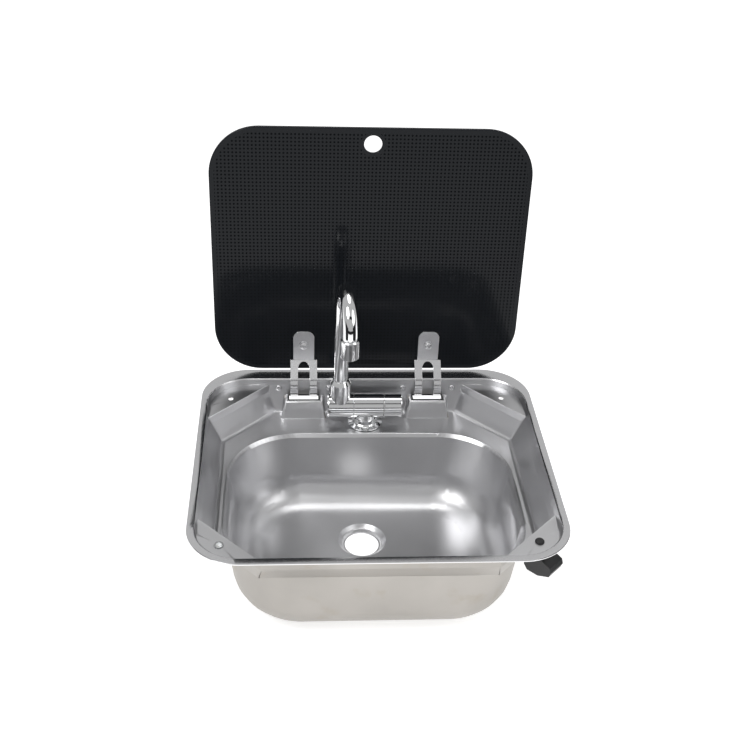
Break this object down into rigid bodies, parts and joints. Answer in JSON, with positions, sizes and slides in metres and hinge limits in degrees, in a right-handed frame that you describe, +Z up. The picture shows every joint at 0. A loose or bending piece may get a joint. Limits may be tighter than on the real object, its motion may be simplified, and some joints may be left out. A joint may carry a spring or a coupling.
{
  "type": "rv sink with glass lid",
  "caption": "Rectangular drop-in stainless sink for a camper, with a hinged tinted glass lid and a fold-down chrome tap with a swivel spout.",
  "frame": {"origin": "middle of the rim's underside, the plane that rests on the worktop", "axes": "+X to the right of a person at the sink, +Y to the back where the lid is hinged, +Z up"},
  "size_m": [0.42, 0.388, 0.4853],
  "materials": {
    "basin_shell": "satin pressed stainless sheet",
    "slot_trim_left": "black moulded",
    "slot_trim_right": "black moulded",
    "hinge_bracket_left": "plain",
    "hinge_bracket_right": "plain",
    "hinge_pin_left": "plain",
    "hinge_pin_right": "plain",
    "wall_screws_left": "bright",
    "wall_screws_right": "bright",
    "wall_nuts_left": "plain",
    "wall_nuts_right": "plain",
    "bumper_clear": "clear soft",
    "bumper_black": "black soft",
    "worktop_clamp": "black moulded",
    "clamp_screw": "plain",
    "tap_base_ring": "polished",
    "base_seal": "black",
    "tap_body": "polished",
    "tap_shank": "machined",
    "backing_washer": "black",
    "lock_nut": "machined",
    "hose_tail": "machined",
    "valve_cartridge": "machined",
    "glass_lid": "tinted toughened glass with fine dot grid",
    "hinge_arm_left": "polished",
    "hinge_arm_right": "polished",
    "lid_bolts": "bright",
    "lid_washers": "bright",
    "lid_pads": "black",
    "lid_nuts": "bright",
    "spout_elbow": "polished",
    "elbow_seals": "black",
    "spout_collar": "polished",
    "elbow_set_screw": "plain",
    "spout_pipe": "polished",
    "nozzle": "polished",
    "aerator": "pale moulded",
    "swivel_seal": "black",
    "tap_knob": "polished",
    "knob_ring": "polished",
    "valve_spindle": "machined",
    "knob_grub_screw": "plain"
  },
  "bodies": {
    "basin": {"basin_shell": "basin_shell", "slot_trim_left": "slot_trim_left", "slot_trim_right": "slot_trim_right", "hinge_bracket_left": "hinge_bracket_left", "hinge_bracket_right": "hinge_bracket_right", "hinge_pin_left": "hinge_pin_left", "hinge_pin_right": "hinge_pin_right", "wall_screws_left": "wall_screws_left", "wall_screws_right": "wall_screws_right", "wall_nuts_left": "wall_nuts_left", "wall_nuts_right": "wall_nuts_right", "bumper_clear": "bumper_clear", "bumper_black": "bumper_black", "worktop_clamp": "worktop_clamp", "clamp_screw": "clamp_screw", "tap_base_ring": "tap_base_ring", "base_seal": "base_seal", "tap_body": "tap_body", "tap_shank": "tap_shank", "backing_washer": "backing_washer", "lock_nut": "lock_nut", "hose_tail": "hose_tail", "valve_cartridge": "valve_cartridge"},
    "lid": {"glass_lid": "glass_lid", "hinge_arm_left": "hinge_arm_left", "hinge_arm_right": "hinge_arm_right", "lid_bolts": "lid_bolts", "lid_washers": "lid_washers", "lid_pads": "lid_pads", "lid_nuts": "lid_nuts"},
    "fold": {"spout_elbow": "spout_elbow", "elbow_seals": "elbow_seals", "spout_collar": "spout_collar", "elbow_set_screw": "elbow_set_screw"},
    "spout": {"spout_pipe": "spout_pipe", "nozzle": "nozzle", "aerator": "aerator", "swivel_seal": "swivel_seal"},
    "knob": {"tap_knob": "tap_knob", "knob_ring": "knob_ring", "valve_spindle": "valve_spindle", "knob_grub_screw": "knob_grub_screw"}
  },
  "joints": [
    {"name": "lid_hinge", "type": "hinge", "parent": "basin", "child": "lid", "pos_m": [0, 0.1739, -0.0106], "axis": [1, 0, 0], "range_deg": [0, 93]},
    {"name": "tap_fold", "type": "hinge", "parent": "basin", "child": "fold", "pos_m": [0, 0.136, -0.0215], "axis": [1, 0, 0], "range_deg": [0, 90]},
    {"name": "spout_swivel", "type": "hinge", "parent": "fold", "child": "spout", "pos_m": [-0.034, 0.136, -0.0215], "axis": [0, 0, 1], "range_deg": [-60, 60]},
    {"name": "knob_turn", "type": "hinge", "parent": "basin", "child": "knob", "pos_m": [0, 0.136, -0.0215], "axis": [1, 0, 0], "range_deg": [0, 90]}
  ],
  "couplings": [
    {"joint": "tap_fold", "follows": "lid_hinge", "ratio": 0.96774}
  ]
}
